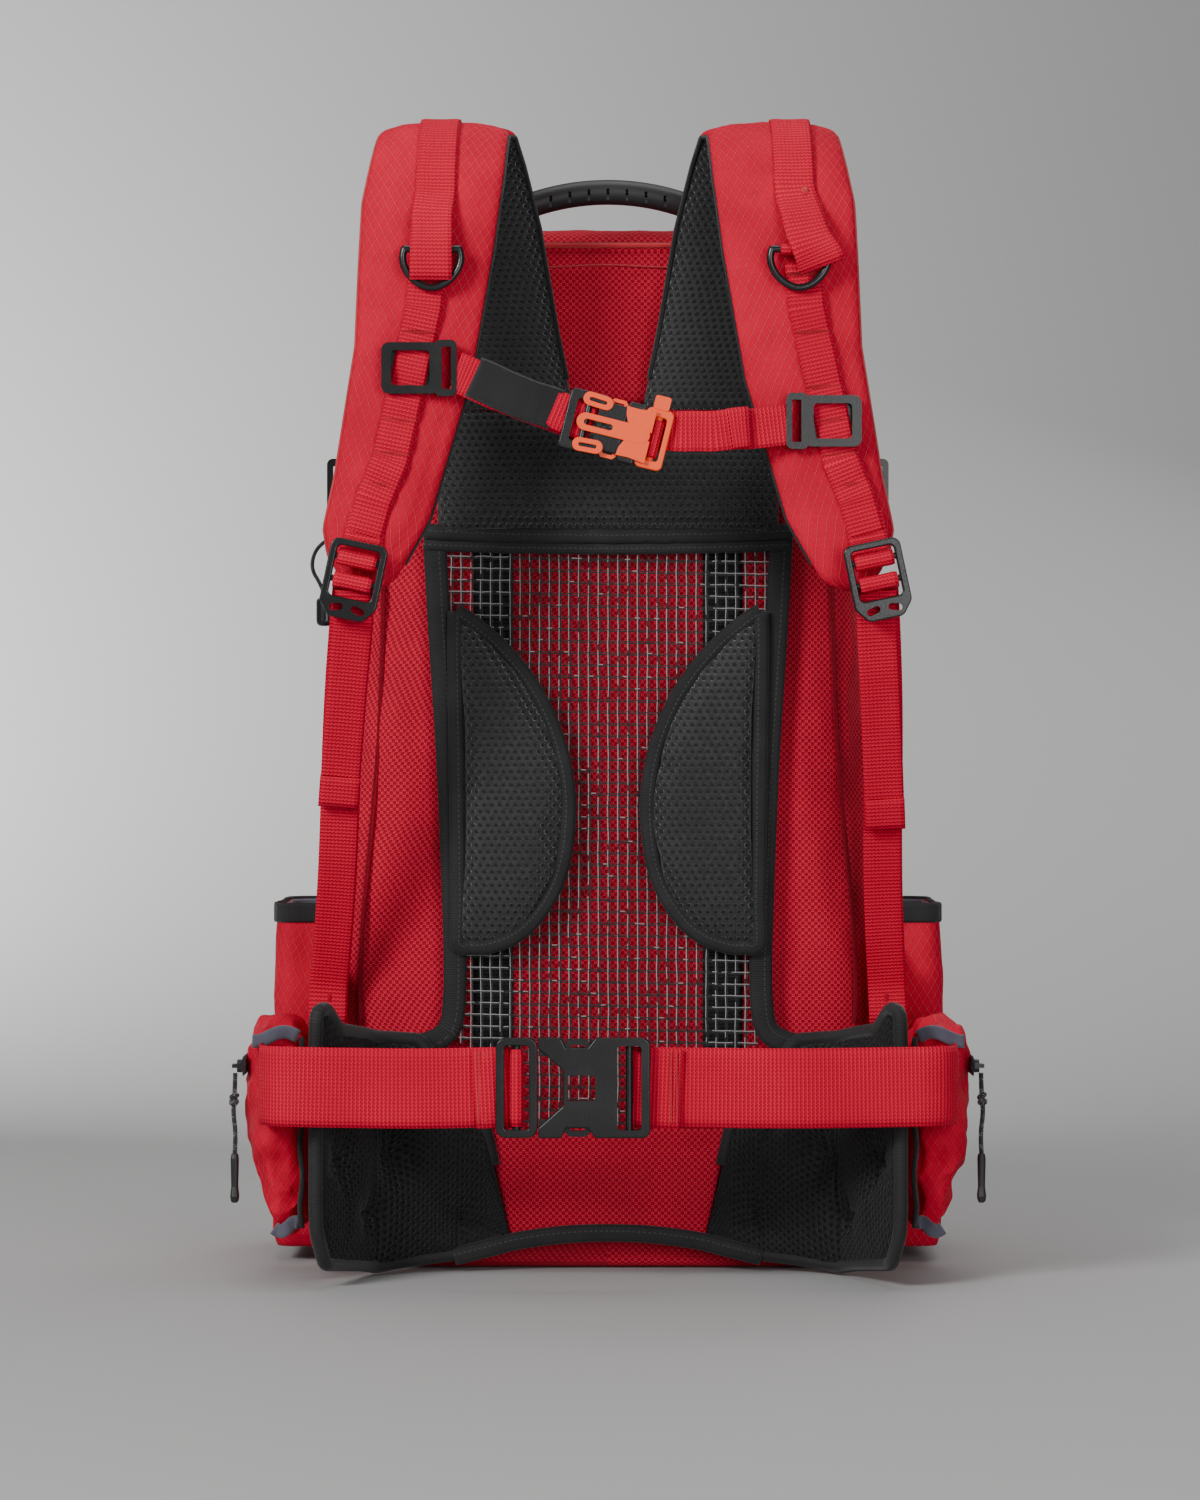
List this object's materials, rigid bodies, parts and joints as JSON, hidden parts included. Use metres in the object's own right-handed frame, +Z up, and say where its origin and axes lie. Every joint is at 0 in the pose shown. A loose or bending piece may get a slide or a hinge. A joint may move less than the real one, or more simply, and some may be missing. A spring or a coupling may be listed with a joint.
{
  "type": "ski backpack",
  "caption": "Tall ski and hiking backpack seen from its harness: padded shoulder straps, sternum strap, net back with side pads, hip belt with zipped pockets.",
  "frame": {"origin": "on the ground at the middle of the flat bottom of the bag's back edge line: X = 0 is the middle of the pack, Y = 0 the plane of its back panel", "axes": "+Z up; the wearer's side, with the straps, faces -Y; X runs across, with the wearer's left strap, seen at the left, at -X"},
  "size_m": [0.481, 0.4013, 0.7417],
  "materials": {
    "red_cloth": "woven",
    "red_webbing": "woven",
    "black_mesh": "woven",
    "net": "woven",
    "zip_tape": "woven",
    "black_plastic": "satin",
    "orange_plastic": "satin",
    "grip_rubber": "satin",
    "cord": "woven",
    "zip_metal": "satin",
    "frame_plastic": "satin",
    "stay_metal": "satin"
  },
  "bodies": {
    "pack": {"anchor_loops": "red_webbing", "belt_female": "black_plastic", "belt_web_left": "red_webbing", "belt_web_right": "red_webbing", "bungee": "cord", "bungee_toggle": "black_plastic", "compression_buckles": "black_plastic", "compression_straps": "red_webbing", "daisy_webbings": "red_webbing", "frame_sheet": "frame_plastic", "frame_stays": "stay_metal", "front_pocket": "red_cloth", "gear_loops": "red_webbing", "handle_anchors": "red_webbing", "hip_fins": "black_mesh", "hip_pockets": "red_cloth", "load_lifters": "red_webbing", "lower_webbings": "red_webbing", "lumbar_pads": "black_mesh", "lumbar_panel": "red_cloth", "main_bag": "red_cloth", "net_bindings": "black_mesh", "net_panel": "net", "shoulder_strap_left": "red_cloth", "shoulder_strap_right": "red_cloth", "side_pockets": "red_cloth", "stay_sleeves": "black_mesh", "webbing_wings": "red_cloth", "yoke_pad": "black_mesh", "zip_tapes": "zip_tape"},
    "lid": {"top_lid": "red_cloth"},
    "haul_handle": {"haul_grip": "grip_rubber", "haul_webbing": "red_webbing"},
    "belt_plug": {"belt_male": "black_plastic", "belt_web_loop": "red_webbing"},
    "belt_prong_up": {"belt_prong_upper": "black_plastic"},
    "belt_prong_down": {"belt_prong_lower": "black_plastic"},
    "sternum_strap": {"sternum_sliders": "black_plastic", "sternum_web_left": "red_webbing", "sternum_web_right": "red_webbing", "sternum_label": "zip_tape", "sternum_female": "black_plastic"},
    "sternum_plug": {"sternum_male": "orange_plastic", "sternum_web_loop": "red_webbing"},
    "sternum_prong_up": {"sternum_prong_upper": "orange_plastic"},
    "sternum_prong_down": {"sternum_prong_lower": "orange_plastic"},
    "d_ring_left": {"d_ring_left": "black_plastic"},
    "d_ring_right": {"d_ring_right": "black_plastic"},
    "strap_lock_left": {"ladder_lock_left": "black_plastic", "lock_loop_left": "red_webbing"},
    "strap_lock_right": {"ladder_lock_right": "black_plastic", "lock_loop_right": "red_webbing"},
    "hip_zip_left": {"hip_slider_left": "zip_metal"},
    "hip_pull_left": {"hip_cord_left": "cord", "hip_grip_left": "grip_rubber"},
    "hip_zip_right": {"hip_slider_right": "zip_metal"},
    "hip_pull_right": {"hip_cord_right": "cord", "hip_grip_right": "grip_rubber"},
    "front_zip": {"front_slider": "zip_metal"},
    "lid_zip": {"lid_slider": "zip_metal"}
  },
  "joints": [
    {"name": "lid_hinge", "type": "hinge", "parent": "pack", "child": "lid", "pos_m": [0, 0.0485, 0.6724], "axis": [1, 0, 0], "range_deg": [0, 90]},
    {"name": "handle_swing", "type": "hinge", "parent": "pack", "child": "haul_handle", "pos_m": [0, 0.012, 0.682], "axis": [1, 0, 0], "range_deg": [-25, 10]},
    {"name": "belt_release", "type": "slide", "parent": "pack", "child": "belt_plug", "axis": [-1, 0, 0], "range_m": [0, 0.042]},
    {"name": "belt_press_upper", "type": "hinge", "parent": "belt_plug", "child": "belt_prong_up", "pos_m": [-0.0421, -0.137, 0.15225], "axis": [0, 1, 0], "range_deg": [0, 6], "stiffness_Nm_per_rad": 0.02},
    {"name": "belt_press_lower", "type": "hinge", "parent": "belt_plug", "child": "belt_prong_down", "pos_m": [-0.0421, -0.137, 0.10575], "axis": [0, -1, 0], "range_deg": [0, 6], "stiffness_Nm_per_rad": 0.02},
    {"name": "sternum_height", "type": "slide", "parent": "pack", "child": "sternum_strap", "axis": [0, 0, 1], "range_m": [-0.012, 0.012]},
    {"name": "sternum_release", "type": "slide", "parent": "sternum_strap", "child": "sternum_plug", "axis": [0.9703, 0, -0.2419], "range_m": [0, 0.03]},
    {"name": "sternum_press_upper", "type": "hinge", "parent": "sternum_plug", "child": "sternum_prong_up", "pos_m": [0.0214, -0.139, 0.5486], "axis": [0, -1, 0], "range_deg": [0, 6], "stiffness_Nm_per_rad": 0.02},
    {"name": "sternum_press_lower", "type": "hinge", "parent": "sternum_plug", "child": "sternum_prong_down", "pos_m": [0.01451, -0.139, 0.52094], "axis": [0, 1, 0], "range_deg": [0, 6], "stiffness_Nm_per_rad": 0.02},
    {"name": "d_ring_left_swing", "type": "hinge", "parent": "pack", "child": "d_ring_left", "pos_m": [-0.11, -0.134, 0.651], "axis": [-1, 0, 0], "range_deg": [0, 70]},
    {"name": "d_ring_right_swing", "type": "hinge", "parent": "pack", "child": "d_ring_right", "pos_m": [0.119, -0.134, 0.651], "axis": [-1, 0, 0], "range_deg": [0, 70]},
    {"name": "strap_lock_left_tilt", "type": "hinge", "parent": "pack", "child": "strap_lock_left", "pos_m": [-0.156, -0.141, 0.457], "axis": [-0.9781, 0, 0.2079], "range_deg": [0, 20]},
    {"name": "strap_lock_right_tilt", "type": "hinge", "parent": "pack", "child": "strap_lock_right", "pos_m": [0.165, -0.141, 0.457], "axis": [-0.9781, 0, -0.2079], "range_deg": [0, 20]},
    {"name": "hip_zip_left_slide", "type": "slide", "parent": "pack", "child": "hip_zip_left", "axis": [0, 1, 0], "range_m": [0, 0.085]},
    {"name": "hip_pull_left_swing", "type": "hinge", "parent": "hip_zip_left", "child": "hip_pull_left", "pos_m": [-0.23745, -0.076, 0.138], "axis": [1, 0, 0], "range_deg": [-55, 55]},
    {"name": "hip_zip_right_slide", "type": "slide", "parent": "pack", "child": "hip_zip_right", "axis": [0, 1, 0], "range_m": [0, 0.085]},
    {"name": "hip_pull_right_swing", "type": "hinge", "parent": "hip_zip_right", "child": "hip_pull_right", "pos_m": [0.23745, -0.076, 0.138], "axis": [1, 0, 0], "range_deg": [-55, 55]},
    {"name": "front_zip_slide", "type": "slide", "parent": "pack", "child": "front_zip", "axis": [1, 0, 0], "range_m": [0, 0.156]},
    {"name": "lid_zip_slide", "type": "slide", "parent": "pack", "child": "lid_zip", "axis": [1, 0, 0], "range_m": [0, 0.19]}
  ],
  "couplings": [
    {"joint": "belt_press_lower", "follows": "belt_press_upper", "ratio": 1},
    {"joint": "sternum_press_lower", "follows": "sternum_press_upper", "ratio": 1}
  ]
}
